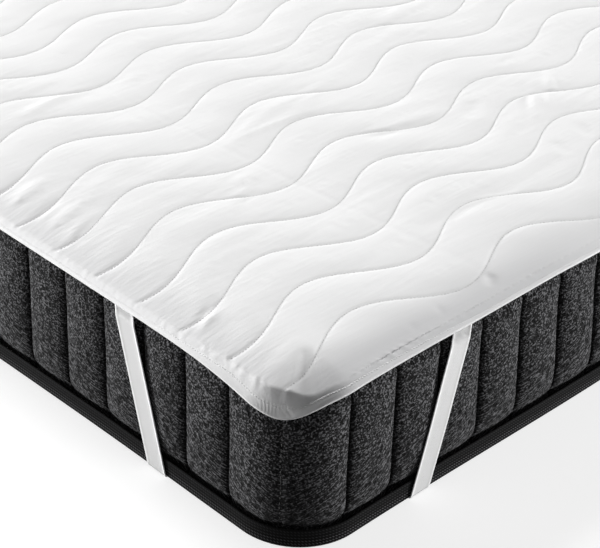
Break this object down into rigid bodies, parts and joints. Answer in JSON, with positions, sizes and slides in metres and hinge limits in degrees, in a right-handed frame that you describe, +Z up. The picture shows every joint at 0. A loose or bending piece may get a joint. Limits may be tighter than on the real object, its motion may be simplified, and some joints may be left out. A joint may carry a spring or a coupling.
{
  "type": "quilted mattress protector with corner straps, on a mattress",
  "caption": "White quilted protector pad with wave-shaped channels and a bound edge, held on a padded-sided mattress by elastic corner straps.",
  "frame": {"origin": "centre of the footprint, on the surface below the mattress", "axes": "+X across the bed, +Y along the bed, +Z up"},
  "size_m": [1.4034, 2.0034, 0.183],
  "materials": {
    "microfibre": "brushed white microfibre over a soft filling, quilted",
    "binding": "white woven binding, folded round the edge and top-stitched",
    "elastic": "white ribbed elastic",
    "knit": "dark grey heather knit over padding",
    "tape": "near-black woven tape"
  },
  "bodies": {
    "root": {"quilted_pad": "microfibre", "edge_binding": "binding", "corner_strap_1": "elastic", "corner_strap_2": "elastic", "corner_strap_3": "elastic", "corner_strap_4": "elastic", "mattress": "knit", "base_tape": "tape"}
  },
  "joints": []
}
